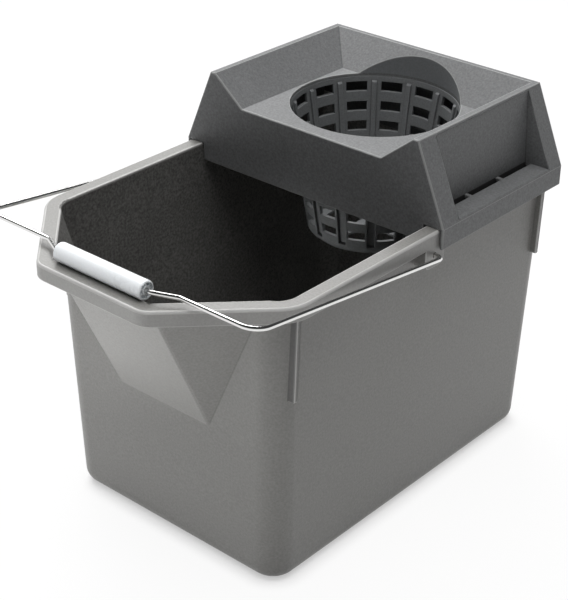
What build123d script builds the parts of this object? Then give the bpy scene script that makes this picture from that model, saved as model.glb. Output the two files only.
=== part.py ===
# Mop bucket with a lift-off strainer wringer and a wire bail, five pieces in one frame.
# Millimetres, +Z up, the pouring spout towards -Y, origin at the middle of the pail's base.
import math
import os

from build123d import *

# Pail: sizes across the base, then the rim and the pouring spout at the mouth
pail_width = 210.0
pail_length = 311.0
pail_height = 237.0
wall_draft = 1.66
pail_wall = 2.6
floor_thickness = 3.5
corner_radius = 20.0
floor_edge_radius = 12.0
floor_edge_chamfer = 7.0
base_pocket_depth = 1.5
base_border = 24.0
base_rib = 14.0
base_pocket_radius = 8.0

rim_overhang = 9.8
rim_plate = 2.8
rim_skirt_wall = 2.4
rim_depth = 11.5
rim_front_radius = 16.0
rim_outer_edge = 1.3
rim_inner_edge = 2.0

spout_reach = 53.4
spout_drop = 121.5
spout_foot_width = 88.8
spout_ridge_radius = 5.0
spout_tuck = 0.3

# Stacking ribs that stand on the side walls below the rim, near the four corners
rib_edge_radius = 1.2
front_rib_drop = 79.0
front_rib_width = 4.4
front_rib_rise = 3.9
front_rib_inset = 14.6
rear_rib_drop = 75.5
rear_rib_width = 3.6
rear_rib_rise = 5.0
rear_rib_inset = 16.9

# Bail, its ears under the side rims and its grip
pivot_front = 6.0
pivot_drop = 18.0
wire_diameter = 3.5
wire_sides = 20
wire_play = 0.25
ear_width = 22.0
ear_plate = 3.0
ear_drop = 9.5
ear_rib = 2.5
ear_radius = 6.0
bail_side_gap = 1.8
bail_end_inset = 9.0
bail_step = 9.0
bail_step_inner = 45.5
bail_step_outer = 63.0
ear_bend_radius = 5.0
corner_bend_radius = 13.0
step_bend_radius = 8.0
grip_diameter = 14.0
grip_length = 83.0
grip_skin = 1.5
grip_sleeve = 1.3
grip_web = 0.9
grip_webs = 6
rest_gap = 0.3
rest_lean = 22.2

# Wringer housing: a moulded shell that straddles the side rims behind the open mouth
seat_gap = 0.3
skirt_gap = 1.0
skirt_wall = 2.4
wringer_wall = 2.5
wringer_front = 2.6
wringer_length = 153.1
wringer_rise = 62.0
wringer_top_width = 198.8
skirt_rise = 1.0
skirt_depth = 15.7
panel_thickness = 2.8
panel_drop = 13.5
panel_gap = 1.4
rear_panel_width = 194.0
tray_depth = 22.1
tray_back_run = 27.5
tray_rim = 4.7
tray_side_land = 1.6
hole_front_land = 13.0
hole_rear_land = 9.1
collar_wall = 2.2
wringer_edge = 1.2
ledge_edge = 0.8

# Hand recesses in the housing's sides, with the drain slots along their ledges
recess_front = 19.6
recess_rear = 17.0
recess_lip = 1.8
recess_head_gap = 0.4
recess_foot = 102.7
recess_flange = 9.0
slot_count = 3
slot_width = 5.0
slot_bridge = 3.6

# Strainer basket: a tapered cup of upright staves with windows, open between its floor spokes
basket_taper = 10.2
basket_depth = 106.3
basket_wall = 2.2
basket_floor = 2.5
basket_foot_chamfer = 4.0
flange_width = 4.2
flange_thickness = 2.2
stave_count = 14
row_count = 6
row_pitch = 15.75
window_height = 7.6
window_angle = 15.5
window_top = 6.8
ridge_width = 4.2
ridge_rise = 2.0
groove_width = 6.0
groove_depth = 1.9
groove_foot = 7.0
groove_head = 3.0
spoke_count = 7
spoke_width = 3.2
hub_radius = 12.0
floor_ring = 8.0

# Values that follow from the sizes above
root_two = math.sqrt(2.0)
overlap = 5.0
tiny = 0.01
lean = math.tan(math.radians(wall_draft))
wire_radius = wire_diameter / 2
grip_radius = grip_diameter / 2
mouth_half_width = pail_width / 2 + pail_height * lean
mouth_half_length = pail_length / 2 + pail_height * lean
cheek_reach = mouth_half_width + mouth_half_length - (2 - root_two) * corner_radius - spout_tuck
spout_front = mouth_half_length + spout_reach
spout_foot_height = pail_height - spout_drop
pivot_height = pail_height - pivot_drop
rim_half_width = mouth_half_width + rim_overhang
rim_bottom = pail_height - rim_depth

skirt_inner = rim_half_width + skirt_gap
skirt_outer = skirt_inner + skirt_wall
wringer_rear = wringer_length - wringer_front
wringer_top = pail_height + wringer_rise
kink_height = pail_height + skirt_rise
skirt_bottom = kink_height - skirt_depth
seat_height = pail_height + seat_gap
ledge_top = seat_height + wringer_wall
panel_bottom = pail_height - panel_drop
tray_floor = wringer_top - tray_depth
tray_underside = tray_floor - wringer_wall
hole_radius = (wringer_length - hole_front_land - hole_rear_land) / 2
hole_centre = hole_front_land + hole_radius - wringer_front
tray_half_width = hole_radius + tray_side_land
tray_back = wringer_rear - tray_rim - tray_back_run
recess_start = recess_front - wringer_front
recess_length = wringer_length - recess_front - recess_rear
basket_bottom = tray_floor - basket_depth
basket_floor_top = basket_bottom + basket_floor
basket_slope = math.tan(math.radians(basket_taper))
stave_angle = 360.0 / stave_count
corner_ratio = 1 / math.cos(math.radians(stave_angle / 2))
bail_half_span = skirt_outer + bail_side_gap + wire_radius


def prism_y(points, start, end):
    outline = Polyline([(x, start, z) for x, z in points], close=True)
    return extrude(make_face(outline), amount=end - start, dir=(0, 1, 0))


def prism_x(points, start, end):
    outline = Polyline([(start, y, z) for y, z in points], close=True)
    return extrude(make_face(outline), amount=end - start, dir=(1, 0, 0))


def prism_z(sketch, start, end):
    return extrude(Pos(0, 0, start) * sketch, amount=end - start)


def both_sides(solid):
    return solid + mirror(solid, about=Plane.YZ)


def near(edges, axis, value):
    return edges.filter_by_position(axis, value - tiny, value + tiny)


def half_width_at(height):
    return pail_width / 2 + height * lean


def half_length_at(height):
    return pail_length / 2 + height * lean


# Pail body

def drafted_box(inset, bottom, top):
    low_x = half_width_at(bottom) - inset
    low_y = half_length_at(bottom) - inset
    high_x = half_width_at(top) - inset
    high_y = half_length_at(top) - inset
    across = [(-low_x, bottom), (low_x, bottom), (high_x, top), (-high_x, top)]
    along = [(-low_y, bottom), (low_y, bottom), (high_y, top), (-high_y, top)]
    box = prism_y(across, -high_y, high_y) & prism_x(along, -high_x, high_x)
    corners = box.edges().filter_by(lambda edge: abs(edge.tangent_at(0.5).Z) > 0.5)
    return fillet(corners, corner_radius - inset)


def bottom_edges(solid):
    return solid.faces().sort_by(Axis.Z)[0].edges()


def spout_form(inset, top):
    front = spout_front - inset
    foot = half_length_at(spout_foot_height) - inset
    corner = Vector(cheek_reach - root_two * inset - front, -front, pail_height)
    foot_half_width = spout_foot_width / 2 - (root_two - 1) * inset
    foot_corner = Vector(foot_half_width, -foot, spout_foot_height)
    ridge = foot_corner - corner
    front_normal = ridge.cross(Vector(1, 0, 0))
    cheek_normal = ridge.cross(Vector(1, 1, 0))
    back = mouth_half_length - corner_radius + (corner_radius - inset) / root_two
    half_block = rim_half_width + overlap
    block = prism_x(
        [(-front - rim_overhang, 0), (-back, 0), (-back, top), (-front - rim_overhang, top)],
        -half_block,
        half_block,
    )
    block = split(block, Plane(corner, z_dir=front_normal), keep=Keep.BOTTOM)
    block = split(block, Plane(corner, z_dir=cheek_normal), keep=Keep.BOTTOM)
    mirrored = Plane(
        Vector(-corner.X, corner.Y, corner.Z),
        z_dir=Vector(-cheek_normal.X, cheek_normal.Y, cheek_normal.Z),
    )
    form = split(block, mirrored, keep=Keep.BOTTOM)
    upright = form.edges().filter_by(lambda edge: abs(edge.tangent_at(0.5).Z) > 0.5)
    return fillet(upright.sort_by(Axis.Y)[:2], spout_ridge_radius - inset)


def mouth_outline(offset):
    side = mouth_half_width + offset
    rear = mouth_half_length + offset
    front = spout_front + offset
    reach = cheek_reach + root_two * offset
    bend = corner_radius + offset
    half = [(side, rear), (side, side - reach), (reach - front, -front)]
    points = half + [(-x, y) for x, y in reversed(half)]
    radii = [bend, bend, rim_front_radius, rim_front_radius, bend, bend]
    return make_face(FilletPolyline(points, radius=radii, close=True))


def stacking_rib(middle, width, rise, drop):
    inner = half_width_at(0) - corner_radius
    top = pail_height - rim_plate
    foot = pail_height - drop
    outline = [
        (inner, foot),
        (half_width_at(foot) + rise, foot),
        (half_width_at(top) + rise, top),
        (inner, top),
    ]
    rib = prism_y(outline, middle - width / 2, middle + width / 2)
    outer_face = rib.faces().sort_by(Axis.X)[-1]
    upright = outer_face.edges().filter_by(lambda edge: abs(edge.tangent_at(0.5).Z) > 0.5)
    return fillet(upright, rib_edge_radius)


def bail_ear():
    bottom = pivot_height - ear_drop
    top = pail_height - rim_plate
    front = -pivot_front - ear_width / 2
    rear = -pivot_front + ear_width / 2
    inner = half_width_at(bottom) - pail_wall / 2
    shape = FilletPolyline(
        [(0, front, top), (0, front, bottom), (0, rear, bottom), (0, rear, top)],
        radius=[0, ear_radius, ear_radius, 0],
        close=True,
    )
    slab = extrude(make_face(Pos(inner, 0, 0) * shape), amount=rim_half_width - inner, dir=(1, 0, 0))
    pocket = [
        (front + ear_rib, bottom - overlap),
        (rear - ear_rib, bottom - overlap),
        (rear - ear_rib, top),
        (front + ear_rib, top),
    ]
    return slab - prism_x(pocket, inner, rim_half_width - ear_plate)


def base_pockets():
    length = pail_length / 2 - base_border - base_rib / 2
    width = pail_width / 2 - base_border - base_rib / 2
    sketch = RectangleRounded(width, length, base_pocket_radius)
    pocket = prism_z(sketch, 0, base_pocket_depth)
    shift_x = (width + base_rib) / 2
    shift_y = (length + base_rib) / 2
    return [Pos(x, y, 0) * pocket for x in (-shift_x, shift_x) for y in (-shift_y, shift_y)]


def pail_body():
    outside = drafted_box(0, 0, pail_height)
    shell = fillet(bottom_edges(outside), floor_edge_radius) + spout_form(0, pail_height)
    front_end = half_length_at(pail_height - front_rib_drop)
    rear_end = half_length_at(pail_height - rear_rib_drop)
    front_rib = stacking_rib(front_rib_inset - front_end, front_rib_width, front_rib_rise, front_rib_drop)
    rear_rib = stacking_rib(rear_end - rear_rib_inset, rear_rib_width, rear_rib_rise, rear_rib_drop)
    shell += [both_sides(front_rib), both_sides(rear_rib)]
    rim = prism_z(mouth_outline(rim_overhang), rim_bottom, pail_height)
    top_edges = rim.faces().sort_by(Axis.Z)[-1].edges()
    rim = chamfer(top_edges, rim_outer_edge)
    rim -= prism_z(mouth_outline(rim_overhang - rim_skirt_wall), rim_bottom, pail_height - rim_plate) - shell
    body = shell + rim + both_sides(bail_ear())
    inside = drafted_box(pail_wall, floor_thickness, pail_height)
    body -= chamfer(bottom_edges(inside), floor_edge_chamfer) + spout_form(pail_wall, pail_height)
    body -= base_pockets()
    hole = Cylinder(wire_radius + wire_play, 2 * ear_plate, rotation=(0, 90, 0))
    body -= both_sides(Pos(rim_half_width, -pivot_front, pivot_height) * hole)
    rim_face = body.faces().filter_by(Axis.Z).sort_by(Axis.Z)[-1]
    return body.fillet(rim_inner_edge, rim_face.inner_wires()[0].edges())


# Wringer housing

def tray_space(grow):
    bottom = tray_floor - grow
    top = wringer_top + overlap
    side_run = wringer_top_width / 2 - tray_half_width - tray_rim

    def edge(foot, run, height):
        slant = math.hypot(run, tray_depth)
        return foot + ((height - tray_floor) * run + grow * slant) / tray_depth

    side_low = edge(tray_half_width, side_run, bottom)
    side_high = edge(tray_half_width, side_run, top)
    back_low = edge(tray_back, tray_back_run, bottom)
    back_high = edge(tray_back, tray_back_run, top)
    front = -wringer_front - overlap
    across = prism_y(
        [(-side_low, bottom), (side_low, bottom), (side_high, top), (-side_high, top)],
        front,
        wringer_rear + overlap,
    )
    along = prism_x(
        [(front, bottom), (back_low, bottom), (back_high, top), (front, top)],
        -side_high,
        side_high,
    )
    return across & along


def slope_edge(height):
    run = skirt_outer - wringer_top_width / 2
    return skirt_outer - run * (height - kink_height) / (wringer_top - kink_height)


def hand_recess(grow):
    head = wringer_top - recess_lip
    outer = skirt_outer + overlap
    outline = [
        (recess_foot - grow, ledge_top - grow),
        (slope_edge(head) - recess_head_gap - grow, head + grow),
        (outer, head + grow),
        (outer, ledge_top - grow),
    ]
    return prism_y(outline, recess_start - grow, recess_start + recess_length + grow)


def drain_slots():
    length = (recess_length - (slot_count - 1) * slot_bridge) / slot_count
    outline = [
        (recess_foot, seat_height - overlap),
        (recess_foot + slot_width, seat_height - overlap),
        (recess_foot + slot_width, ledge_top + overlap),
        (recess_foot, ledge_top + overlap),
    ]
    slot = prism_y(outline, recess_start, recess_start + length)
    return [Pos(0, index * (length + slot_bridge), 0) * slot for index in range(slot_count)]


def hollow_under_tray():
    slant = math.hypot(skirt_outer - wringer_top_width / 2, wringer_top - kink_height)
    shift = wringer_wall * slant / (wringer_top - kink_height)
    ceiling = wringer_top - wringer_wall
    shoulder = kink_height - (skirt_inner - skirt_outer + shift) * (wringer_top - kink_height) / (
        skirt_outer - wringer_top_width / 2
    )
    half = [
        (skirt_inner, skirt_bottom - overlap),
        (skirt_inner, shoulder),
        (slope_edge(ceiling) - shift, ceiling),
    ]
    outline = half + [(-x, z) for x, z in reversed(half)]
    hollow = prism_y(outline, panel_thickness - wringer_front, wringer_rear - wringer_wall)
    return hollow - tray_space(wringer_wall) - both_sides(hand_recess(wringer_wall))


def panel_notch(half_width, start, end):
    low = skirt_bottom - overlap
    half = [
        (skirt_inner, low),
        (skirt_inner, seat_height),
        (half_width, seat_height),
        (half_width, panel_bottom),
    ]
    return prism_y(half + [(-x, z) for x, z in reversed(half)], start, end)


def basket_hole():
    low = tray_underside - overlap
    high = wringer_top + overlap
    outline = Polyline(
        [
            (0, 0, low),
            (hole_radius - (tray_floor - low) * basket_slope, 0, low),
            (hole_radius, 0, tray_floor),
            (hole_radius, 0, high),
            (0, 0, high),
        ],
        close=True,
    )
    return Pos(0, hole_centre, 0) * revolve(make_face(outline), Axis.Z)


def round_outer_edges(body):
    edges = body.edges()
    chosen = near(edges, Axis.Z, wringer_top)
    upright = edges.filter_by_position(Axis.Z, kink_height - tiny, wringer_top - tiny)
    chosen += near(upright, Axis.Y, -wringer_front) + near(upright, Axis.Y, wringer_rear)
    chosen += near(edges, Axis.X, skirt_outer).filter_by_position(Axis.Z, skirt_bottom + tiny, wringer_top)
    chosen += near(edges, Axis.X, -skirt_outer).filter_by_position(Axis.Z, skirt_bottom + tiny, wringer_top)
    return body.fillet(wringer_edge, chosen)


def round_ledges(body):
    low = near(body.edges(), Axis.Z, ledge_top)
    ledges = low.filter_by(lambda edge: abs(abs(edge.center().X) - slope_edge(ledge_top)) < tiny)
    return body.fillet(ledge_edge, ledges)


def wringer_housing():
    half = [
        (skirt_outer, skirt_bottom),
        (skirt_outer, kink_height),
        (wringer_top_width / 2, wringer_top),
    ]
    outline = half + [(-x, z) for x, z in reversed(half)]
    body = prism_y(outline, -wringer_front, wringer_rear)
    body -= hollow_under_tray()
    collar = prism_z(Circle(hole_radius + collar_wall), tray_underside, wringer_top)
    body += Pos(0, hole_centre, 0) * collar
    body -= tray_space(0)
    body -= both_sides(hand_recess(0))
    flange = prism_y(
        [
            (recess_foot - wringer_wall, ledge_top - recess_flange),
            (recess_foot, ledge_top - recess_flange),
            (recess_foot, ledge_top),
            (recess_foot - wringer_wall, ledge_top),
        ],
        recess_start - wringer_wall,
        recess_start + recess_length + wringer_wall,
    )
    body += both_sides(flange)
    body -= both_sides(Part() + drain_slots())
    front_half = half_width_at(panel_bottom) - pail_wall - panel_gap
    body -= panel_notch(front_half, -wringer_front - overlap, panel_thickness - wringer_front)
    body -= panel_notch(rear_panel_width / 2, wringer_rear - wringer_wall, wringer_rear + overlap)
    return round_ledges(round_outer_edges(body - basket_hole()))


# Strainer basket

def basket_inside(height):
    return hole_radius - (tray_floor - height) * basket_slope


def around(solid, count, phase):
    return [Rot(0, 0, (index + phase) * 360.0 / count) * solid for index in range(count)]


def staved_form(half_section):
    reach = 2 * hole_radius
    outline = half_section + [(-x, z) for x, z in reversed(half_section)]
    slabs = around(prism_y(outline, -reach, reach), stave_count, 0.5)
    form = slabs[0]
    for slab in slabs[1:stave_count // 2]:
        form &= slab
    return form


def basket_cup():
    chamfer_top = basket_bottom + basket_foot_chamfer
    outside = staved_form([
        (basket_inside(basket_bottom) + basket_wall - basket_foot_chamfer, basket_bottom),
        (basket_inside(chamfer_top) + basket_wall, chamfer_top),
        (basket_inside(tray_underside) + basket_wall, tray_underside),
    ])
    inside = staved_form([
        (basket_inside(basket_floor_top), basket_floor_top),
        (basket_inside(tray_underside), tray_underside),
    ])
    edge = hole_radius + flange_width
    flange = staved_form([(edge, tray_underside - flange_thickness), (edge, tray_underside)])
    return outside + flange - inside


def basket_ridge():
    head = tray_floor - window_top
    slope_head = head - ridge_rise
    foot = basket_floor_top - basket_floor / 2
    sunk = basket_wall / 2
    outline = [
        (basket_inside(foot) * corner_ratio + sunk, foot),
        (basket_inside(head) * corner_ratio + sunk, head),
        (basket_inside(slope_head) * corner_ratio - ridge_rise, slope_head),
        (basket_inside(foot) * corner_ratio - ridge_rise, foot),
    ]
    return prism_y(outline, -ridge_width / 2, ridge_width / 2)


def basket_groove():
    foot = basket_bottom + groove_foot
    head = tray_underside - flange_thickness - groove_head
    foot_corner = (basket_inside(foot) + basket_wall) * corner_ratio
    head_corner = (basket_inside(head) + basket_wall) * corner_ratio
    outline = [
        (foot_corner - groove_depth, foot),
        (head_corner - groove_depth, head),
        (head_corner + overlap, head),
        (foot_corner + overlap, foot),
    ]
    return prism_y(outline, -groove_width / 2, groove_width / 2)


def basket_window(row):
    top = tray_floor - window_top - row * row_pitch
    middle = basket_inside(top - window_height / 2)
    half = middle * math.tan(math.radians(window_angle / 2))
    window = Box(4 * ridge_rise + 2 * basket_wall, 2 * half, window_height)
    return Pos(middle, 0, top - window_height / 2) * window


def floor_openings():
    outer = basket_inside(basket_floor_top) - floor_ring
    ring = staved_form([(outer, basket_bottom), (outer, basket_floor_top)])
    hub = staved_form([(hub_radius, basket_bottom), (hub_radius, basket_floor_top)])
    bar = Pos(-outer, 0, 0) * Rectangle(2 * outer, spoke_width)
    spoke = prism_z(bar, basket_bottom, basket_floor_top)
    return ring - hub - around(spoke, spoke_count, 0)


def strainer_basket():
    cup = basket_cup() + around(basket_ridge(), stave_count, 0)
    cup -= around(basket_groove(), stave_count, 0)
    for row in range(row_count):
        cup -= around(basket_window(row), stave_count, 0.5)
    return Pos(0, hole_centre, 0) * (cup - floor_openings())


# Bail wire and grip

def grip_rest():
    flare = math.atan2(spout_front - half_length_at(spout_foot_height), pail_height - spout_foot_height)
    setback = rim_inner_edge / math.tan(math.pi / 4 + flare / 2)
    touching = rim_inner_edge + grip_radius + rest_gap
    edge_back = spout_front - pail_wall + setback
    edge_height = pail_height - rim_inner_edge
    lean_angle = math.radians(rest_lean)
    return edge_back - touching * math.sin(lean_angle), edge_height + touching * math.cos(lean_angle)


def bail_plane():
    grip_back, grip_height = grip_rest()
    angle = math.atan2(grip_height - pivot_height, grip_back - pivot_front)
    normal = (0, -math.sin(angle), -math.cos(angle))
    return Plane((0, -pivot_front, pivot_height), x_dir=(1, 0, 0), z_dir=normal)


def grip_reach():
    grip_back, grip_height = grip_rest()
    return math.hypot(grip_height - pivot_height, grip_back - pivot_front)


def bail_wire():
    reach = grip_reach()
    half = [
        (rim_half_width - bail_end_inset, 0),
        (bail_half_span, 0),
        (bail_half_span, reach - bail_step),
        (bail_step_outer, reach - bail_step),
        (bail_step_inner, reach),
    ]
    bends = [ear_bend_radius, corner_bend_radius, step_bend_radius, step_bend_radius]
    points = half + [(-x, y) for x, y in reversed(half)]
    path = bail_plane() * FilletPolyline(points, radius=bends + bends[::-1])
    section = Plane(path @ 0, z_dir=path % 0) * RegularPolygon(wire_radius, wire_sides)
    return sweep(section, path=path)


def bail_grip():
    bore = wire_radius + wire_play
    sleeve = bore + grip_sleeve
    cells = Circle(grip_radius - grip_skin) - Circle(sleeve)
    web = Pos(grip_radius / 2, 0) * Rectangle(grip_radius, grip_web)
    cells -= [Rot(0, 0, index * 360.0 / grip_webs) * web for index in range(grip_webs)]
    profile = Circle(grip_radius) - Circle(bore) - cells
    frame = bail_plane()
    centre = frame.from_local_coords(Vector(0, grip_reach(), 0))
    return extrude(Plane(centre, x_dir=frame.y_dir, z_dir=(1, 0, 0)) * profile, grip_length / 2, both=True)


os.makedirs("parts", exist_ok=True)
for node in (pail_body, wringer_housing, strainer_basket, bail_wire, bail_grip):
    export_step(node(), f"parts/{node.__name__}.step")
grip_back, grip_height = grip_rest()
print(f"grip axis at y {-grip_back:.6f} z {grip_height:.6f}")
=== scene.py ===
import math

import bmesh
import bpy
from mathutils import Matrix, Vector


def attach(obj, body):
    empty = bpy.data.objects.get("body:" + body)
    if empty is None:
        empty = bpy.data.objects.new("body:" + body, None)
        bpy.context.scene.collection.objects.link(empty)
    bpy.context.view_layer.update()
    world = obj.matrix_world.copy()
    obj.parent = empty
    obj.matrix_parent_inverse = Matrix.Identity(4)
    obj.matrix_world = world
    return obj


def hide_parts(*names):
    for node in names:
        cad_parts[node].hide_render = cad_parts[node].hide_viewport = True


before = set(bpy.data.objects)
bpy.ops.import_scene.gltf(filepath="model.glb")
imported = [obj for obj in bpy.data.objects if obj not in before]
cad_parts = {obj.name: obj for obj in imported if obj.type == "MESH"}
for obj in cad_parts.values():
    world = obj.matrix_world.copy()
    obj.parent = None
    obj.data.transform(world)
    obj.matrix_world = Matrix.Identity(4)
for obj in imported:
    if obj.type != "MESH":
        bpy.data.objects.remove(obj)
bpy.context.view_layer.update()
print("frame loaded:", ", ".join(sorted(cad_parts)))


# small helpers for meshes

tinyWeld = 1e-6  # corners this close are one corner
faceWeight = 60  # how far large faces lead in the evened normals


def linkPiece(name, mesh):
    piece = bpy.data.objects.new(name, mesh)
    bpy.context.scene.collection.objects.link(piece)
    return piece


def bakeModifiers(piece):
    graph = bpy.context.evaluated_depsgraph_get()
    baked = bpy.data.meshes.new_from_object(piece.evaluated_get(graph), depsgraph=graph)
    piece.modifiers.clear()
    old = piece.data
    piece.data = baked
    bpy.data.meshes.remove(old)
    baked.name = piece.name
    return piece


def meshFrom(name, corners, faces):
    mesh = bpy.data.meshes.new(name)
    mesh.from_pydata(corners, [], faces)
    tidyMesh(mesh, tinyWeld)
    return mesh


def tidyMesh(mesh, weld, outward=False):
    shape = bmesh.new()
    shape.from_mesh(mesh)
    bmesh.ops.remove_doubles(shape, verts=shape.verts, dist=weld)
    bmesh.ops.dissolve_degenerate(shape, edges=shape.edges, dist=weld)
    if outward:
        bmesh.ops.recalc_face_normals(shape, faces=shape.faces)
    shape.to_mesh(mesh)
    shape.free()


def copyOfNode(node, name, weld, flatAngle=0.5):
    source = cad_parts[node].data
    mesh = bpy.data.meshes.new(name)
    mesh.from_pydata([v.co[:] for v in source.vertices], [], [p.vertices[:] for p in source.polygons])
    shape = bmesh.new()
    shape.from_mesh(mesh)
    bmesh.ops.remove_doubles(shape, verts=shape.verts, dist=weld)
    bmesh.ops.dissolve_degenerate(shape, edges=shape.edges, dist=tinyWeld)
    bmesh.ops.dissolve_limit(
        shape, angle_limit=math.radians(flatAngle), verts=shape.verts, edges=shape.edges
    )
    shape.to_mesh(mesh)
    shape.free()
    return linkPiece(name, mesh)


def roundEdges(piece, width, segments, angle):
    bevel = piece.modifiers.new("roundEdges", "BEVEL")
    bevel.width = width
    bevel.segments = segments
    bevel.limit_method = "ANGLE"
    bevel.angle_limit = math.radians(angle)
    bevel.use_clamp_overlap = False
    bakeModifiers(piece)


# bends per metre: bends looser than the first keep their colour, tighter than the second change it fully
bendLimits = {"loose": 230.0, "tight": 500.0, "leastArea": 1e-9}


def bendShare(tightness):
    share = (tightness - bendLimits["loose"]) / (bendLimits["tight"] - bendLimits["loose"])
    return min(max(share, 0.0), 1.0)


def inBox(point, low, high):
    return all(a < p < b for a, p, b in zip(low, point, high))


# outward bends get a pale edge, partly wear and partly painted highlight, apart from those inside the
# spared boxes, and inward ones get painted shade
def markEdges(piece, spared=()):
    shape = bmesh.new()
    shape.from_mesh(piece.data)
    wearAndHighlight = shape.faces.layers.float.new("wearAndHighlight")
    paintedShade = shape.faces.layers.float.new("paintedShade")
    for face in shape.faces:
        bend = sum(e.calc_face_angle_signed(0.0) * e.calc_length() for e in face.edges) / 2
        tightness = bend / max(face.calc_area(), bendLimits["leastArea"])
        middle = face.calc_center_median()
        takesPaleEdge = not any(inBox(middle, low, high) for low, high in spared)
        face[wearAndHighlight] = bendShare(tightness) if takesPaleEdge else 0.0
        face[paintedShade] = bendShare(-tightness)
    shape.to_mesh(piece.data)
    shape.free()


# faces inside a box, and inside its mirror image across the middle, get the same amount of painted shade
def addPaintedShade(piece, box, amount):
    low, high = box
    paintedShade = piece.data.attributes["paintedShade"].data
    for face in piece.data.polygons:
        across, along, up = face.center
        if inBox((abs(across), along, up), low, high):
            paintedShade[face.index].value = amount


def shadeSmooth(piece, angle, weighted=True):
    mesh = piece.data
    mesh.shade_smooth()
    mesh.set_sharp_from_angle(angle=math.radians(angle))
    if weighted:
        even = piece.modifiers.new("evenNormals", "WEIGHTED_NORMAL")
        even.keep_sharp = True
        even.weight = faceWeight
        bakeModifiers(piece)


# node trees: small helpers shared by the materials and the geometry

def addNode(tree, kind, **values):
    node = tree.nodes.new(kind)
    for key, value in values.items():
        setattr(node, key, value)
    return node


def setInputs(node, **values):
    for key, value in values.items():
        node.inputs[key.replace("_", " ")].default_value = value
    return node


# most of a noise's values lie between low and high; the next value is the least share of the pale edge
# (wear and painted highlight) that the noise leaves, sheenSwing how far it moves the roughness either way,
# and drift and grain are the layers
noise = {
    "low": 0.3, "high": 0.7, "leastEdgePale": 0.7, "sheenSwing": 0.05,
    "drift": {"Detail": 3.0, "Roughness": 0.6}, "grain": {"Detail": 2.0, "Roughness": 0.55},
}


def noiseAt(tree, place, scale, layers):
    cloud = addNode(tree, "ShaderNodeTexNoise")
    setInputs(cloud, Scale=scale, **layers)
    tree.links.new(place.outputs["Object"], cloud.inputs["Vector"])
    return cloud.outputs["Fac"]


def noiseBetween(tree, cloud, least, most):
    stretched = addNode(tree, "ShaderNodeMapRange")
    setInputs(stretched, From_Min=noise["low"], From_Max=noise["high"], To_Min=least, To_Max=most)
    tree.links.new(cloud, stretched.inputs["Value"])
    return stretched.outputs["Result"]


def towardColour(tree, colour, target, share):
    mixed = addNode(tree, "ShaderNodeMix", data_type="RGBA")
    mixed.inputs["B"].default_value = (*target, 1)
    tree.links.new(colour, mixed.inputs["A"])
    tree.links.new(share, mixed.inputs["Factor"])
    return mixed.outputs["Result"]


def driftOfTone(tree, look, share):
    tone = addNode(tree, "ShaderNodeMix", data_type="RGBA")
    tone.inputs["A"].default_value = (*look["shade"], 1)
    tone.inputs["B"].default_value = (*look["colour"], 1)
    tree.links.new(share, tone.inputs["Factor"])
    return tone.outputs["Result"]


def attributeTimes(tree, name):
    read = addNode(tree, "ShaderNodeAttribute", attribute_name=name)
    product = addNode(tree, "ShaderNodeMath", operation="MULTIPLY")
    tree.links.new(read.outputs["Fac"], product.inputs[0])
    return product


# moulded plastics: grain you feel, a slow drift of tone, pale edges for wear and painted highlight,
# painted shade in creases

def mouldedPlastic(name, look):
    material = bpy.data.materials.new(name)
    material.use_nodes = True
    tree = material.node_tree
    shader = tree.nodes["Principled BSDF"]
    place = addNode(tree, "ShaderNodeTexCoord")
    drift = noiseAt(tree, place, look["driftScale"], noise["drift"])
    grain = noiseAt(tree, place, look["grainScale"], noise["grain"])

    speckled = addNode(tree, "ShaderNodeHueSaturation")
    speckle = noiseBetween(tree, grain, 1 - look["speckle"], 1 + look["speckle"])
    tree.links.new(speckle, speckled.inputs["Value"])
    tree.links.new(driftOfTone(tree, look, noiseBetween(tree, drift, 0.0, 1.0)), speckled.inputs["Color"])
    edge = attributeTimes(tree, "wearAndHighlight")
    patchy = noiseBetween(tree, drift, look["edgeWearAndHighlight"] * noise["leastEdgePale"], look["edgeWearAndHighlight"])
    tree.links.new(patchy, edge.inputs[1])
    wearAndHighlight = towardColour(tree, speckled.outputs["Color"], look["edge"], edge.outputs["Value"])
    crease = attributeTimes(tree, "paintedShade")
    crease.inputs[1].default_value = look["paintedShade"]
    creaseShaded = towardColour(tree, wearAndHighlight, look["paintedShadeColour"], crease.outputs["Value"])
    tree.links.new(creaseShaded, shader.inputs["Base Color"])

    dullest = look["roughness"] + noise["sheenSwing"]
    brightest = look["roughness"] - noise["sheenSwing"]
    tree.links.new(noiseBetween(tree, drift, brightest, dullest), shader.inputs["Roughness"])
    shader.inputs["Specular IOR Level"].default_value = look["specular"]
    bump = addNode(tree, "ShaderNodeBump")
    setInputs(bump, Strength=look["grainStrength"], Distance=look["grainDepth"])
    tree.links.new(grain, bump.inputs["Height"])
    tree.links.new(bump.outputs["Normal"], shader.inputs["Normal"])
    return material


# in each look, edge is the pale colour for wear and painted highlight, and the dark colour after it is
# painted shade in creases and boxed faces
pailPlastic = mouldedPlastic("pailPlastic", {
    "colour": (0.232, 0.229, 0.218), "shade": (0.212, 0.208, 0.199),
    "edge": (0.66, 0.655, 0.645), "edgeWearAndHighlight": 0.7, "paintedShadeColour": (0.04, 0.04, 0.04), "paintedShade": 0.25,
    "driftScale": 7.0, "grainScale": 620.0, "speckle": 0.12, "grainStrength": 0.25, "grainDepth": 0.0002,
    "roughness": 0.40, "specular": 0.6,
})
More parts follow.
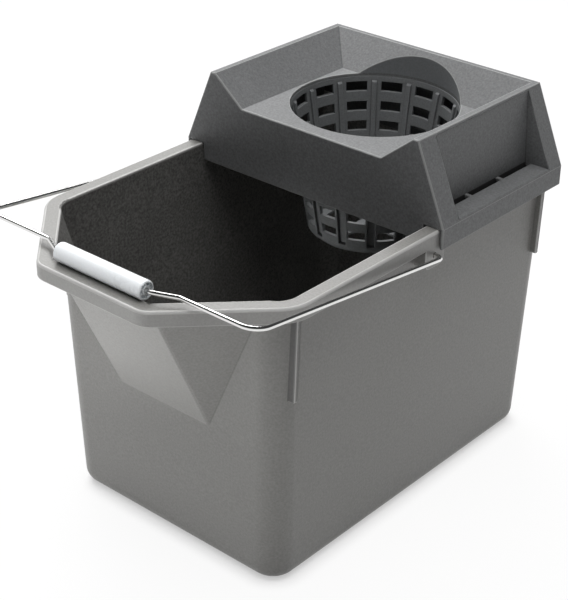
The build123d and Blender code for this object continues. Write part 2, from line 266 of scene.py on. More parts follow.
# a darker, rougher copy of the pail's plastic for the inside, as painted shade
pailInsideShaded = mouldedPlastic("pailInsideShaded", {
    "colour": (0.202, 0.200, 0.191), "shade": (0.144, 0.141, 0.136),
    "edge": (0.29, 0.29, 0.28), "edgeWearAndHighlight": 0.2, "paintedShadeColour": (0.03, 0.03, 0.03), "paintedShade": 0.5,
    "driftScale": 9.0, "grainScale": 520.0, "speckle": 0.38, "grainStrength": 0.35, "grainDepth": 0.0003,
    "roughness": 0.62, "specular": 0.25,
})
wringerPlastic = mouldedPlastic("wringerPlastic", {
    "colour": (0.170, 0.173, 0.176), "shade": (0.153, 0.156, 0.158),
    "edge": (0.34, 0.345, 0.34), "edgeWearAndHighlight": 0.8, "paintedShadeColour": (0.04, 0.04, 0.04), "paintedShade": 0.4,
    "driftScale": 8.0, "grainScale": 620.0, "speckle": 0.19, "grainStrength": 0.3, "grainDepth": 0.00025,
    "roughness": 0.5, "specular": 0.35,
})
basketPlastic = mouldedPlastic("basketPlastic", {
    "colour": (0.178, 0.184, 0.188), "shade": (0.158, 0.165, 0.168),
    "edge": (0.27, 0.28, 0.285), "edgeWearAndHighlight": 0.4, "paintedShadeColour": (0.03, 0.03, 0.03), "paintedShade": 0.5,
    "driftScale": 12.0, "grainScale": 700.0, "speckle": 0.12, "grainStrength": 0.15, "grainDepth": 0.0002,
    "roughness": 0.42, "specular": 0.45,
})
# the strainer's smooth plastic, made lighter, for the round wall behind the hole as painted light
scallopPaintedLight = mouldedPlastic("scallopPaintedLight", {
    "colour": (0.220, 0.229, 0.236), "shade": (0.200, 0.208, 0.214),
    "edge": (0.34, 0.345, 0.34), "edgeWearAndHighlight": 0.8, "paintedShadeColour": (0.03, 0.03, 0.03), "paintedShade": 0.4,
    "driftScale": 12.0, "grainScale": 700.0, "speckle": 0.10, "grainStrength": 0.15, "grainDepth": 0.0002,
    "roughness": 0.42, "specular": 0.45,
})
gripPlastic = mouldedPlastic("gripPlastic", {
    "colour": (0.92, 0.95, 0.97), "shade": (0.90, 0.93, 0.95),
    "edge": (0.93, 0.94, 0.95), "edgeWearAndHighlight": 0.1, "paintedShadeColour": (0.5, 0.5, 0.5), "paintedShade": 0.3,
    "driftScale": 30.0, "grainScale": 1200.0, "speckle": 0.02, "grainStrength": 0.06, "grainDepth": 0.0001,
    "roughness": 0.3, "specular": 0.5,
})


def platedWire(name, look):
    material = bpy.data.materials.new(name)
    material.use_nodes = True
    tree = material.node_tree
    shader = tree.nodes["Principled BSDF"]
    shader.inputs["Metallic"].default_value = 1.0
    place = addNode(tree, "ShaderNodeTexCoord")
    cloud = noiseAt(tree, place, look["cloudScale"], noise["drift"])
    tree.links.new(driftOfTone(tree, look, cloud), shader.inputs["Base Color"])
    tree.links.new(noiseBetween(tree, cloud, look["bright"], look["dull"]), shader.inputs["Roughness"])
    return material


wirePlating = platedWire("wirePlating", {
    "colour": (0.83, 0.83, 0.82), "shade": (0.70, 0.70, 0.69),
    "cloudScale": 90.0, "bright": 0.10, "dull": 0.22,
})
print("materials ready")


# a tree that sets copies of a part round an axis, welds them and gives the finish

def partsInRing():
    tree = bpy.data.node_groups.new("partsInRing", "GeometryNodeTree")
    face = tree.interface
    face.new_socket("Part", in_out="INPUT", socket_type="NodeSocketGeometry")
    count = face.new_socket("Count", in_out="INPUT", socket_type="NodeSocketInt")
    tilt = face.new_socket("Tilt", in_out="INPUT", socket_type="NodeSocketVector")
    centre = face.new_socket("Centre", in_out="INPUT", socket_type="NodeSocketVector")
    weld = face.new_socket("Weld", in_out="INPUT", socket_type="NodeSocketFloat")
    finish = face.new_socket("Finish", in_out="INPUT", socket_type="NodeSocketMaterial")
    face.new_socket("Ring", in_out="OUTPUT", socket_type="NodeSocketGeometry")
    given = addNode(tree, "NodeGroupInput")
    result = addNode(tree, "NodeGroupOutput")

    points = addNode(tree, "GeometryNodePoints")
    tree.links.new(given.outputs["Count"], points.inputs["Count"])
    index = addNode(tree, "GeometryNodeInputIndex")
    step = addNode(tree, "ShaderNodeMath", operation="DIVIDE")
    step.inputs[0].default_value = 2 * math.pi
    tree.links.new(given.outputs["Count"], step.inputs[1])
    turn = addNode(tree, "ShaderNodeMath", operation="MULTIPLY")
    tree.links.new(index.outputs[0], turn.inputs[0])
    tree.links.new(step.outputs[0], turn.inputs[1])
    spin = addNode(tree, "ShaderNodeCombineXYZ")
    tree.links.new(turn.outputs[0], spin.inputs["Z"])
    copies = addNode(tree, "GeometryNodeInstanceOnPoints")
    tree.links.new(points.outputs[0], copies.inputs["Points"])
    tree.links.new(given.outputs["Part"], copies.inputs["Instance"])
    tree.links.new(spin.outputs[0], copies.inputs["Rotation"])
    move = addNode(tree, "GeometryNodeTransform")
    tree.links.new(copies.outputs[0], move.inputs["Geometry"])
    tree.links.new(given.outputs["Tilt"], move.inputs["Rotation"])
    tree.links.new(given.outputs["Centre"], move.inputs["Translation"])
    real = addNode(tree, "GeometryNodeRealizeInstances")
    tree.links.new(move.outputs[0], real.inputs[0])
    joined = addNode(tree, "GeometryNodeMergeByDistance")
    tree.links.new(real.outputs[0], joined.inputs["Geometry"])
    tree.links.new(given.outputs["Weld"], joined.inputs["Distance"])
    painted = addNode(tree, "GeometryNodeSetMaterial")
    tree.links.new(joined.outputs[0], painted.inputs["Geometry"])
    tree.links.new(given.outputs["Finish"], painted.inputs["Material"])
    tree.links.new(painted.outputs[0], result.inputs["Ring"])
    sockets = {"count": count, "tilt": tilt, "centre": centre, "weld": weld, "finish": finish}
    return tree, {key: socket.identifier for key, socket in sockets.items()}


ringTree, ringInputs = partsInRing()


def setInRing(name, part, count, centre, finish, tilt=(0, 0, 0), weld=2e-6):
    piece = linkPiece(name, part)
    ring = piece.modifiers.new("ring", "NODES")
    ring.node_group = ringTree
    ring[ringInputs["count"]] = count
    ring[ringInputs["tilt"]] = tilt
    ring[ringInputs["centre"]] = centre
    ring[ringInputs["weld"]] = weld
    ring[ringInputs["finish"]] = finish
    bakeModifiers(piece)
    tidyMesh(piece.data, weld, outward=True)
    return piece


def joinMeshes(piece, *others):
    shape = bmesh.new()
    shape.from_mesh(piece.data)
    for other in others:
        shape.from_mesh(other.data)
    shape.to_mesh(piece.data)
    shape.free()
    for other in others:
        bpy.data.objects.remove(other)


# pail body; its inside, found by spreading up from its floor, gets a darker copy of the plastic as painted
# shade

pail = {
    "weld": 0.0002, "edge": 0.0006, "segments": 2, "edgeAngle": 18, "smoothAngle": 36,
    "insideTop": 0.234, "floorSearch": 0.006, "floorLeast": 0.005, "level": 0.99,
    # bands of pale colour on the rim, the upper edge's band a painted highlight
    "paleRimBands": [(0.2345, 0.2353, 0.35), (0.2353, 0.2371, 1.0)], "leastOutward": 0.001,
    # box and strength of the painted shade on the front ribs' front faces
    "ribFront": ((0.1075, -0.1482, 0.1580), (0.1145, -0.1474, 0.2337)), "ribPaintedShade": 2.6,
    "plainEdgeBoxes": [
        ((-0.1125, -0.2160, 0.2340), (0.1125, 0.1635, 0.2364)),  # the rim's inner roll
        ((-0.1000, -0.2250, 0.0500), (0.1000, -0.1300, 0.2200)),  # the spout
    ],
}


# the rim's outer side is a little paler all over, and its upper edge is pale all round as a painted
# highlight:
# each band is the least and greatest height of a face's top, then how much of the pale edge colour the
# face takes
def paintRimBands(piece, bands, leastOutward):
    mesh = piece.data
    wearAndHighlight = mesh.attributes["wearAndHighlight"].data
    for face in mesh.polygons:
        top = max(mesh.vertices[i].co.z for i in face.vertices)
        outward = face.normal.x * face.center.x + face.normal.y * face.center.y
        for low, high, share in bands:
            if low < top < high and outward > leastOutward:
                wearAndHighlight[face.index].value = max(wearAndHighlight[face.index].value, share)


def paintInside(piece, p):
    shape = bmesh.new()
    shape.from_mesh(piece.data)
    shape.faces.ensure_lookup_table()
    low = [f for f in shape.faces if f.calc_center_median().z < p["floorSearch"]]
    started = [f for f in low if f.normal.z > p["level"] and f.calc_area() > p["floorLeast"]]
    found = set(started)
    while started:
        face = started.pop()
        for edge in face.edges:
            for other in edge.link_faces:
                if other not in found and other.calc_center_median().z < p["insideTop"]:
                    found.add(other)
                    started.append(other)
    for face in shape.faces:
        face.material_index = 1 if face in found else 0
    share = len(found) / len(shape.faces)
    shape.to_mesh(piece.data)
    shape.free()
    return share


pailBody = copyOfNode("pail_body", "pailBody", pail["weld"])
roundEdges(pailBody, pail["edge"], pail["segments"], pail["edgeAngle"])
markEdges(pailBody, pail["plainEdgeBoxes"])
# painted shade on the front faces of the front ribs
addPaintedShade(pailBody, pail["ribFront"], pail["ribPaintedShade"])
# painted highlight on the rim's upper outer edge, and a paler outer side
paintRimBands(pailBody, pail["paleRimBands"], pail["leastOutward"])
pailBody.data.materials.append(pailPlastic)
pailBody.data.materials.append(pailInsideShaded)
insideShare = paintInside(pailBody, pail)
shadeSmooth(pailBody, pail["smoothAngle"])
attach(pailBody, "pail")
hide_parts("pail_body")
print(f"pail ready, {insideShare:.2f} of its faces are inside")


# wringer housing

wringer = {
    "weld": 0.00002, "edge": 0.0006, "segments": 2, "edgeAngle": 18, "smoothAngle": 36,
    "plainEdgeBoxes": [((-0.13, 0.0, 0.2386), (0.13, 0.148, 0.2402))],  # the sides' ledges
    "holeY": 0.0759, "holeRadius": 0.0655, "holeTop": 0.2772, "holeSlack": 0.0004, "upright": 0.1,
    # box and strength of the painted shade on the slots' rear wall
    "slotWall": ((0.1022, 0.0, 0.2310), (0.1032, 0.15, 0.2398)), "slotPaintedShade": 2.5,
}


# the round wall behind the hole gets the strainer's smooth plastic, made lighter as painted light
def paintScallop(piece, w):
    for face in piece.data.polygons:
        out = Vector((face.center.x, face.center.y - w["holeY"], 0))
        onWall = abs(out.length - w["holeRadius"]) < w["holeSlack"]
        upright = abs(face.normal.z) < w["upright"]
        face.material_index = 1 if onWall and upright and face.center.z > w["holeTop"] else 0


wringerHousing = copyOfNode("wringer_housing", "wringerHousing", wringer["weld"])
roundEdges(wringerHousing, wringer["edge"], wringer["segments"], wringer["edgeAngle"])
markEdges(wringerHousing, wringer["plainEdgeBoxes"])
# painted shade: the slots' rear wall under the ledge is darkened almost to black
addPaintedShade(wringerHousing, wringer["slotWall"], wringer["slotPaintedShade"])
wringerHousing.data.materials.append(wringerPlastic)
wringerHousing.data.materials.append(scallopPaintedLight)
paintScallop(wringerHousing, wringer)
shadeSmooth(wringerHousing, wringer["smoothAngle"])
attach(wringerHousing, "wringer")
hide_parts("wringer_housing")
print("wringer housing ready")


# strainer basket: one stave of the cup and one spoke of its floor, set round the axis

basket = {
    "staves": 14, "spokes": 7, "axisY": 0.0759,
    "mouthRadius": 0.0655, "plateZ": 0.2769, "topZ": 0.2744, "taper": 10.2, "wall": 0.0030,
    "bottomZ": 0.1706, "floorZ": 0.1731, "footChamfer": 0.004,
    "flangeReach": 0.0042, "flangeZ": 0.2722,
    "rows": 6, "rowPitch": 0.01575, "windowTop": 0.0068, "windowHeight": 0.0076, "windowAngle": 15.5,
    "ridgeHalf": 0.0019, "ridgeRise": 0.0016, "ridgeHead": 0.0013,
    "grooveHalf": 0.0030, "grooveDepth": 0.0024, "grooveFoot": 0.007, "grooveRun": 0.0010,
    "ringInner": 0.0388, "hubRadius": 0.012, "spokeWidth": 0.0032, "spokeReach": 0.0396,
    "hubSteps": 4, "spokeInset": 0.0001,
    "edge": 0.00035, "segments": 2, "edgeAngle": 40, "smoothAngle": 40,
}


def staveMesh(b):
    slope = math.tan(math.radians(b["taper"]))
    half = math.pi / b["staves"]
    windowHalf = math.radians(b["windowAngle"]) / 2
    tops = [b["plateZ"] - b["windowTop"] - row * b["rowPitch"] for row in range(b["rows"])]
    windowZ = [z for top in tops for z in (top, top - b["windowHeight"])]

    def inside(z):
        return b["mouthRadius"] - (b["plateZ"] - z) * slope

    def outside(z):
        return inside(z) + b["wall"]

    # columns: distance from the stave's border, or share of the window, then ridge and groove on or off
    left = [
        ("border", 0.0, 1, 1), ("border", b["ridgeHalf"], 1, 1), ("border", b["ridgeHalf"], 0, 1),
        ("border", b["grooveHalf"], 0, 1), ("border", b["grooveHalf"], 0, 0),
        ("window", 1.0, 0, 0), ("window", 1 / 3, 0, 0),
    ]
    columns = [(-1, *c) for c in left] + [(1, *c) for c in reversed(left)]

    def profile(ridge, groove):
        rise = ridge * b["ridgeRise"]
        depth = groove * b["grooveDepth"]
        headZ = windowZ[0] + b["ridgeHead"]
        inner = [(inside(b["topZ"]), b["topZ"]), (inside(headZ), headZ)]
        inner += [(inside(z) - rise, z) for z in windowZ]
        inner += [(inside(b["floorZ"]) - rise, b["floorZ"])]
        ring = [(b["ringInner"], b["floorZ"]), (b["ringInner"], b["bottomZ"])]
        chamferZ = b["bottomZ"] + b["footChamfer"]
        footZ = b["bottomZ"] + b["grooveFoot"]
        deepZ = footZ + b["grooveRun"]
        outer = [(outside(b["bottomZ"]) - b["footChamfer"], b["bottomZ"]), (outside(chamferZ), chamferZ)]
        outer += [(outside(footZ), footZ), (outside(deepZ) - depth, deepZ)]
        outer += [(outside(z) - depth, z) for z in reversed(windowZ)]
        outer += [(outside(headZ), headZ), (outside(b["flangeZ"]), b["flangeZ"])]
        edge = b["mouthRadius"] + b["flangeReach"]
        outer += [(edge, b["flangeZ"]), (edge, b["topZ"])]
        return inner + ring + outer

    corners = []
    loop = len(profile(0, 0))
    for side, kind, value, ridge, groove in columns:
        for radius, z in profile(ridge, groove):
            away = windowHalf * value if kind == "window" else half - value / radius
            angle = half + side * away
            corners.append((radius * math.cos(angle), radius * math.sin(angle), z))
    innerFirst = 2  # corners of the profile above the windows
    underWindows = 7  # and those of the floor, the ring and the foot
    outerLast = innerFirst + len(windowZ) + underWindows + len(windowZ) - 1
    windowColumns = [i for i in range(len(columns) - 1) if columns[i][1] == columns[i + 1][1] == "window"]
    faces = []
    for column in range(len(columns) - 1):
        for k in range(loop):
            following = (k + 1) % loop
            innerWindow = innerFirst <= k < innerFirst + len(windowZ) and (k - innerFirst) % 2 == 0
            outerWindow = outerLast - len(windowZ) < k <= outerLast - 1 and (outerLast - k) % 2 == 1
            if column in windowColumns and (innerWindow or outerWindow):
                continue
            a, c = column * loop, (column + 1) * loop
            faces.append((a + k, a + following, c + following, c + k))
    for row in range(b["rows"]):
        innerTop, innerLow = innerFirst + 2 * row, innerFirst + 2 * row + 1
        outerTop, outerLow = outerLast - 2 * row, outerLast - 2 * row - 1
        for column in windowColumns:
            a, c = column * loop, (column + 1) * loop
            faces.append((a + innerTop, c + innerTop, c + outerTop, a + outerTop))
            faces.append((a + innerLow, a + outerLow, c + outerLow, c + innerLow))
        for column in (windowColumns[0], windowColumns[-1] + 1):
            a = column * loop
            faces.append((a + innerTop, a + outerTop, a + outerLow, a + innerLow))
    return meshFrom("stave", corners, faces)


def spokeMesh(b):
    half = math.pi / b["spokes"]
    root = math.asin(b["spokeWidth"] / 2 / b["hubRadius"])
    turns = [-half + (half - root) * i / b["hubSteps"] for i in range(b["hubSteps"] + 1)]
    right = [(b["hubRadius"] * math.cos(a), b["hubRadius"] * math.sin(a)) for a in turns]
    right += [(b["spokeReach"], -b["spokeWidth"] / 2)]
    outline = [(0.0, 0.0)] + right + [(x, -y) for x, y in reversed(right)]
    count = len(outline)
    low, high = b["bottomZ"] + b["spokeInset"], b["floorZ"] - b["spokeInset"]
    corners = [(x, y, low) for x, y in outline] + [(x, y, high) for x, y in outline]
    faces = [tuple(range(count - 1, -1, -1)), tuple(range(count, 2 * count))]
    faces += [(i, i + 1, count + i + 1, count + i) for i in range(1, count - 1)]
    return meshFrom("spoke", corners, faces)


basketCentre = (0, basket["axisY"], 0)
stave = staveMesh(basket)
strainerBasket = setInRing("strainerBasket", stave, basket["staves"], basketCentre, basketPlastic)
basketFloor = setInRing("basketFloor", spokeMesh(basket), basket["spokes"], basketCentre, basketPlastic)
joinMeshes(strainerBasket, basketFloor)
roundEdges(strainerBasket, basket["edge"], basket["segments"], basket["edgeAngle"])
markEdges(strainerBasket)
shadeSmooth(strainerBasket, basket["smoothAngle"])
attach(strainerBasket, "wringer")
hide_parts("strainer_basket")
print(f"strainer basket ready, {len(strainerBasket.data.polygons)} faces")


# bail wire: a bent route, its corners rounded and a round section run along it

bail = {
    "pivotY": -0.006, "pivotZ": 0.219, "riseAngle": 6.8484,
    "wireRadius": 0.00174, "sides": 20, "bendSteps": 10, "smoothAngle": 40,
    "route": [  # across, distance from the pivot, bend radius
        (0.11267, 0.0, 0.0), (0.12862, 0.0, 0.005), (0.12862, 0.197398, 0.013),
        (0.063, 0.197398, 0.008), (0.0455, 0.206398, 0.008),
    ],
}


def wireAlongRoute(name, b, finish):
    rise = math.radians(b["riseAngle"])
    half = b["route"]
    route = half + [(-x, away, bend) for x, away, bend in reversed(half)]
    corners = [
        (x, b["pivotY"] - away * math.cos(rise), b["pivotZ"] + away * math.sin(rise))
        for x, away, bend in route
    ]
    mesh = bpy.data.meshes.new(name)
    mesh.from_pydata(corners, [(i, i + 1) for i in range(len(corners) - 1)], [])
    bends = mesh.attributes.new("bend", "FLOAT", "POINT")
    bends.data.foreach_set("value", [bend for x, away, bend in route])
    piece = linkPiece(name, mesh)

    tree = bpy.data.node_groups.new("bentWire", "GeometryNodeTree")
    face = tree.interface
    face.new_socket("Route", in_out="INPUT", socket_type="NodeSocketGeometry")
    radius = face.new_socket("Wire Radius", in_out="INPUT", socket_type="NodeSocketFloat")
    sides = face.new_socket("Sides", in_out="INPUT", socket_type="NodeSocketInt")
    steps = face.new_socket("Bend Steps", in_out="INPUT", socket_type="NodeSocketInt")
    coat = face.new_socket("Finish", in_out="INPUT", socket_type="NodeSocketMaterial")
    face.new_socket("Wire", in_out="OUTPUT", socket_type="NodeSocketGeometry")
    given = addNode(tree, "NodeGroupInput")
    result = addNode(tree, "NodeGroupOutput")
    line = addNode(tree, "GeometryNodeMeshToCurve")
    tree.links.new(given.outputs["Route"], line.inputs["Mesh"])
    size = addNode(tree, "GeometryNodeInputNamedAttribute", data_type="FLOAT")
    size.inputs["Name"].default_value = "bend"
    bent = addNode(tree, "GeometryNodeFilletCurve", mode="POLY")
    tree.links.new(line.outputs[0], bent.inputs["Curve"])
    tree.links.new(size.outputs["Attribute"], bent.inputs["Radius"])
    tree.links.new(given.outputs["Bend Steps"], bent.inputs["Count"])
    section = addNode(tree, "GeometryNodeCurvePrimitiveCircle")
    tree.links.new(given.outputs["Sides"], section.inputs["Resolution"])
    tree.links.new(given.outputs["Wire Radius"], section.inputs["Radius"])
    swept = addNode(tree, "GeometryNodeCurveToMesh")
    swept.inputs["Fill Caps"].default_value = True
    tree.links.new(bent.outputs[0], swept.inputs["Curve"])
    tree.links.new(section.outputs[0], swept.inputs["Profile Curve"])
    real = addNode(tree, "GeometryNodeRealizeInstances")
    tree.links.new(swept.outputs[0], real.inputs[0])
    coated = addNode(tree, "GeometryNodeSetMaterial")
    tree.links.new(real.outputs[0], coated.inputs["Geometry"])
    tree.links.new(given.outputs["Finish"], coated.inputs["Material"])
    tree.links.new(coated.outputs[0], result.inputs["Wire"])

    sweep = piece.modifiers.new("bentWire", "NODES")
    sweep.node_group = tree
    sweep[radius.identifier] = b["wireRadius"]
    sweep[sides.identifier] = b["sides"]
    sweep[steps.identifier] = b["bendSteps"]
    sweep[coat.identifier] = finish
    bakeModifiers(piece)
    tidyMesh(piece.data, tinyWeld, outward=True)
    return piece


bailWire = wireAlongRoute("bailWire", bail, wirePlating)
shadeSmooth(bailWire, bail["smoothAngle"], weighted=False)
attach(bailWire, "bail")
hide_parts("bail_wire")
print("bail wire ready")


# grip: a turned roller with open ends, and thin webs in the ends

grip = {
    "centre": (0, -0.210926, 0.243611), "radius": 0.007, "halfLength": 0.0415, "endRound": 0.0013,
    "skinInner": 0.0055, "sleeve": 0.0034, "sleeveInset": 0.0004, "bore": 0.002, "pocket": 0.0025,
    "lip": 0.0003, "lipFlat": 0.0004, "sides": 48, "roundSteps": 5, "smoothAngle": 40,
    "webs": 6, "webThick": 0.0012, "webInset": 0.0008, "sleeveBite": 0.0002, "webBite": 0.0003,
}


def rollerMesh(g):
    end, skin = g["halfLength"], g["radius"]
    soft = g["endRound"]
    right = [(end - g["sleeveInset"], g["bore"]), (end - g["sleeveInset"], g["sleeve"])]
    right += [(end - g["pocket"], g["sleeve"]), (end - g["pocket"], g["skinInner"])]
    right += [(end - g["lip"], g["skinInner"]), (end, g["skinInner"] + g["lip"])]
    inset = min(soft, skin - g["skinInner"] - g["lipFlat"])
    for i in range(g["roundSteps"] + 1):
        a = math.pi / 2 * i / g["roundSteps"]
        right.append((end - soft + soft * math.cos(a), skin - inset + inset * math.sin(a)))
    loop = right + [(-x, r) for x, r in reversed(right)]
    count, sides = len(loop), g["sides"]
    corners = []
    for i in range(sides):
        a = 2 * math.pi * i / sides
        corners += [(r * math.cos(a), r * math.sin(a), x) for x, r in loop]
    faces = []
    for i in range(sides):
        a, c = i * count, ((i + 1) % sides) * count
        faces += [(a + k, c + k, c + (k + 1) % count, a + (k + 1) % count) for k in range(count)]
    return meshFrom("roller", corners, faces)


def webMesh(g):
    thick = g["webThick"] / 2
    near, far = g["sleeve"] - g["sleeveBite"], g["skinInner"] + g["webBite"]
    back, front = g["halfLength"] - g["pocket"] - g["webBite"], g["halfLength"] - g["webInset"]
    corners, faces = [], []
    for low, high in ((back, front), (-front, -back)):
        first = len(corners)
        corners += [(r, s, z) for z in (low, high) for r, s in
                    ((near, -thick), (far, -thick), (far, thick), (near, thick))]
        faces += [tuple(first + i for i in quad) for quad in
                  ((0, 3, 2, 1), (4, 5, 6, 7), (0, 1, 5, 4), (1, 2, 6, 5), (2, 3, 7, 6), (3, 0, 4, 7))]
    return meshFrom("web", corners, faces)


axleTurn = math.pi / 2  # about Y, from upright to along the wire
bailGrip = linkPiece("bailGrip", rollerMesh(grip))
bailGrip.data.transform(Matrix.Translation(grip["centre"]) @ Matrix.Rotation(axleTurn, 4, "Y"))
bailGrip.data.materials.append(gripPlastic)
tidyMesh(bailGrip.data, tinyWeld, outward=True)
web = webMesh(grip)
gripWebs = setInRing("gripWebs", web, grip["webs"], grip["centre"], gripPlastic, tilt=(0, axleTurn, 0))
joinMeshes(bailGrip, gripWebs)
shadeSmooth(bailGrip, grip["smoothAngle"])
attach(bailGrip, "grip")
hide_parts("bail_grip")
print("grip ready")


# stage: a white sweep that keeps the shadow, soft lamps overhead and behind to the left, low cards of
# light at the floor, two small fills for the strainer and the spout, and a dim surround

stage = {
    "floorSize": 9.0, "floorColour": 0.56, "fadeFrom": 0.6, "fadeTo": 1.8,
    "foot": (0.085, 0.1355, 0.0), "footCorner": 0.02, "contactFrom": -0.009, "contactTo": 0.012,
    "shadowNear": 0.95, "shadowFar": 0.14,
    "surround": 0.02, "horizon": 0.14, "ceilingFrom": 0.32, "ceiling": 0.05,
    "lamps": [  # name, place, aim, size, spread, power, whether gloss shows it
        ("overhead", (0, 0, 3.0), (0, 0, 0), (3.0, 3.0), 180, 90.0, False),
        ("overheadFront", (0.6, -1.2, 3.0), (0, 0, 0.12), (2.0, 2.0), 180, 9.0, False),
        ("keyLamp", (-1.6, 1.4, 2.2), (0, 0, 0.12), (1.2, 1.2), 180, 31.0, True),
        ("leftLamp", (-2.0, 0.5, 2.2), (0, 0, 0.12), (1.2, 1.2), 180, 30.0, True),
        ("frontCard", (-0.1, -0.75, 0.004), (-0.1, -0.75, 1), (1.2, 0.9), 180, 1.9, False),
        ("cornerCard", (-0.55, -0.75, 0.004), (-0.55, -0.75, 1), (0.9, 0.9), 180, 2.0, False),
        ("frontFoot", (-0.2, -0.48, 0.004), (-0.2, -0.48, 1), (0.6, 0.64), 180, 0.6, False),
        ("sideFoot", (0.3, 0.0, 0.004), (0.3, 0.0, 1), (0.36, 0.5), 180, 0.1, False),
        ("basketFill", (-0.06, -0.1, 0.12), (0, 0.03, 0.19), (0.05, 0.05), 40, 0.005, False),
        ("spoutFill", (-0.1, -0.28, 0.004), (-0.01, -0.19, 0.17), (0.12, 0.08), 50, 0.035, False),
    ],
}


# the rays that meet the backdrop as a picture: those of the camera, of gloss and of anything clear
def seenRays(tree, rays):
    shiny = addNode(tree, "ShaderNodeMath", operation="MAXIMUM")
    tree.links.new(rays.outputs["Is Glossy Ray"], shiny.inputs[0])
    tree.links.new(rays.outputs["Is Transmission Ray"], shiny.inputs[1])
    seen = addNode(tree, "ShaderNodeMath", operation="MAXIMUM")
    tree.links.new(rays.outputs["Is Camera Ray"], seen.inputs[0])
    tree.links.new(shiny.outputs[0], seen.inputs[1])
    return seen


def sweepFloor(s):
    half = s["floorSize"] / 2
    mesh = bpy.data.meshes.new("sweepFloor")
    corners = [(-half, -half, 0), (half, -half, 0), (half, half, 0), (-half, half, 0)]
    mesh.from_pydata(corners, [], [(0, 1, 2, 3)])
    floor = linkPiece("sweepFloor", mesh)
    material = bpy.data.materials.new("whiteSweep")
    material.use_nodes = True
    tree = material.node_tree
    tree.nodes.clear()
    output = addNode(tree, "ShaderNodeOutputMaterial")
    seen = seenRays(tree, addNode(tree, "ShaderNodeLightPath"))
    place = addNode(tree, "ShaderNodeTexCoord")

    # how much of the paper's own light shows: most at the pail's foot, none far away
    folded = addNode(tree, "ShaderNodeVectorMath", operation="ABSOLUTE")
    tree.links.new(place.outputs["Object"], folded.inputs[0])
    outward = addNode(tree, "ShaderNodeVectorMath", operation="SUBTRACT")
    outward.inputs[1].default_value = s["foot"]
    tree.links.new(folded.outputs[0], outward.inputs[0])
    outside = addNode(tree, "ShaderNodeVectorMath", operation="MAXIMUM")
    tree.links.new(outward.outputs[0], outside.inputs[0])
    fromFoot = addNode(tree, "ShaderNodeVectorMath", operation="LENGTH")
    tree.links.new(outside.outputs[0], fromFoot.inputs[0])
    contact = addNode(tree, "ShaderNodeMapRange", interpolation_type="SMOOTHSTEP")
    start, end = (s["footCorner"] + s[key] for key in ("contactFrom", "contactTo"))
    setInputs(contact, From_Min=start, From_Max=end, To_Min=s["shadowNear"], To_Max=s["shadowFar"])
    tree.links.new(fromFoot.outputs["Value"], contact.inputs["Value"])
    away = addNode(tree, "ShaderNodeVectorMath", operation="LENGTH")
    tree.links.new(place.outputs["Object"], away.inputs[0])
    fade = addNode(tree, "ShaderNodeMapRange")
    setInputs(fade, From_Min=s["fadeFrom"], From_Max=s["fadeTo"], To_Min=s["floorColour"], To_Max=0.0)
    tree.links.new(away.outputs["Value"], fade.inputs["Value"])
    share = addNode(tree, "ShaderNodeMath", operation="MULTIPLY")
    tree.links.new(contact.outputs["Result"], share.inputs[0])
    tree.links.new(fade.outputs["Result"], share.inputs[1])

    paper = addNode(tree, "ShaderNodeBsdfDiffuse")
    tint = addNode(tree, "ShaderNodeMix", data_type="RGBA")
    tint.inputs["A"].default_value = (*(s["floorColour"],) * 3, 1)
    tree.links.new(share.outputs[0], tint.inputs["B"])
    tree.links.new(seen.outputs[0], tint.inputs["Factor"])
    tree.links.new(tint.outputs["Result"], paper.inputs["Color"])
    glow = addNode(tree, "ShaderNodeEmission")
    rest = addNode(tree, "ShaderNodeMath", operation="SUBTRACT")
    tree.links.new(seen.outputs[0], rest.inputs[0])
    tree.links.new(share.outputs[0], rest.inputs[1])
    level = addNode(tree, "ShaderNodeMath", operation="MULTIPLY")
    tree.links.new(seen.outputs[0], level.inputs[0])
    tree.links.new(rest.outputs[0], level.inputs[1])
    tree.links.new(level.outputs[0], glow.inputs["Strength"])
    both = addNode(tree, "ShaderNodeAddShader")
    tree.links.new(paper.outputs[0], both.inputs[0])
    tree.links.new(glow.outputs[0], both.inputs[1])
    tree.links.new(both.outputs[0], output.inputs["Surface"])
    mesh.materials.append(material)


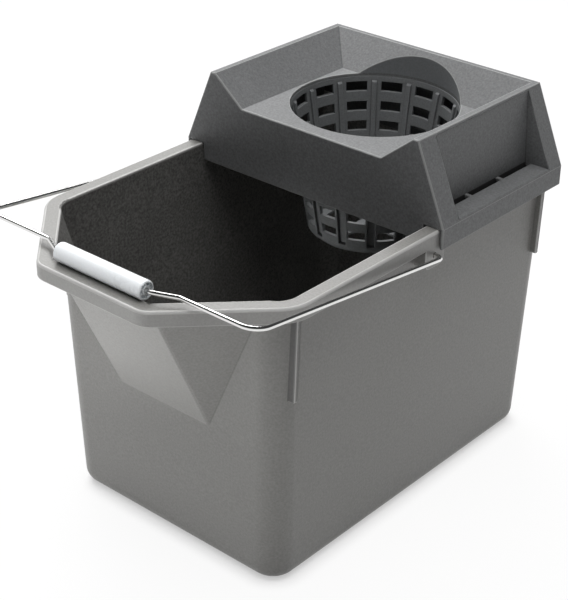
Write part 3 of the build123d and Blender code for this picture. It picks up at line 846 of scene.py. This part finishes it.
def whiteSurround(s):
    world = bpy.data.worlds.new("whiteSurround")
    bpy.context.scene.world = world
    world.use_nodes = True
    tree = world.node_tree
    tree.nodes.clear()
    output = addNode(tree, "ShaderNodeOutputWorld")
    dim = addNode(tree, "ShaderNodeBackground")
    dim.inputs["Color"].default_value = (*(s["surround"],) * 3, 1)
    white = addNode(tree, "ShaderNodeBackground")
    white.inputs["Color"].default_value = (1, 1, 1, 1)
    toward = addNode(tree, "ShaderNodeTexCoord")
    height = addNode(tree, "ShaderNodeSeparateXYZ")
    tree.links.new(toward.outputs["Generated"], height.inputs[0])
    fade = addNode(tree, "ShaderNodeMapRange")
    setInputs(fade, From_Min=s["horizon"], From_Max=s["ceilingFrom"], To_Min=1.0, To_Max=s["ceiling"])
    tree.links.new(height.outputs["Z"], fade.inputs["Value"])
    rays = addNode(tree, "ShaderNodeLightPath")
    seen = seenRays(tree, rays)
    level = addNode(tree, "ShaderNodeMath", operation="MAXIMUM")
    tree.links.new(fade.outputs["Result"], level.inputs[0])
    tree.links.new(rays.outputs["Is Camera Ray"], level.inputs[1])
    tree.links.new(level.outputs[0], white.inputs["Strength"])
    choose = addNode(tree, "ShaderNodeMixShader")
    tree.links.new(seen.outputs[0], choose.inputs[0])
    tree.links.new(dim.outputs[0], choose.inputs[1])
    tree.links.new(white.outputs[0], choose.inputs[2])
    tree.links.new(choose.outputs[0], output.inputs["Surface"])


def softLamp(name, place, aim, size, spread, power, shines):
    data = bpy.data.lights.new(name, "AREA")
    data.shape = "RECTANGLE"
    data.size, data.size_y = size
    data.energy = power
    data.spread = math.radians(spread)
    light = bpy.data.objects.new(name, data)
    bpy.context.scene.collection.objects.link(light)
    light.visible_camera = False
    light.visible_glossy = shines
    light.location = place
    light.rotation_euler = (Vector(aim) - Vector(place)).to_track_quat("-Z", "Y").to_euler()


sweepFloor(stage)
whiteSurround(stage)
for lamp in stage["lamps"]:
    softLamp(*lamp)


# camera at the photograph's angle

lens = {
    "azimuth": 40.975, "elevation": 28.871, "roll": 0.582, "eye": (0.69426, -0.82771, 0.73062),
    "focal": 94.912, "sensor": 36.0,
}


def photoCamera(c):
    around, above, roll = (math.radians(c[key]) for key in ("azimuth", "elevation", "roll"))
    right = Vector((math.cos(around), math.sin(around), 0))
    flatBack = Vector((math.sin(around), -math.cos(around), 0))
    back = flatBack * math.cos(above) + Vector((0, 0, math.sin(above)))
    up = back.cross(right)
    turnedRight = right * math.cos(roll) + up * math.sin(roll)
    turnedUp = up * math.cos(roll) - right * math.sin(roll)
    data = bpy.data.cameras.new("photoCamera")
    data.lens = c["focal"]
    data.sensor_fit = "AUTO"
    data.sensor_width = c["sensor"]
    camera = bpy.data.objects.new("photoCamera", data)
    bpy.context.scene.collection.objects.link(camera)
    camera.matrix_world = Matrix((turnedRight, turnedUp, back)).transposed().to_4x4()
    camera.location = c["eye"]
    bpy.context.scene.camera = camera


photoCamera(lens)
bpy.context.scene.view_settings.view_transform = "Standard"
print("stage, lamps and camera ready")
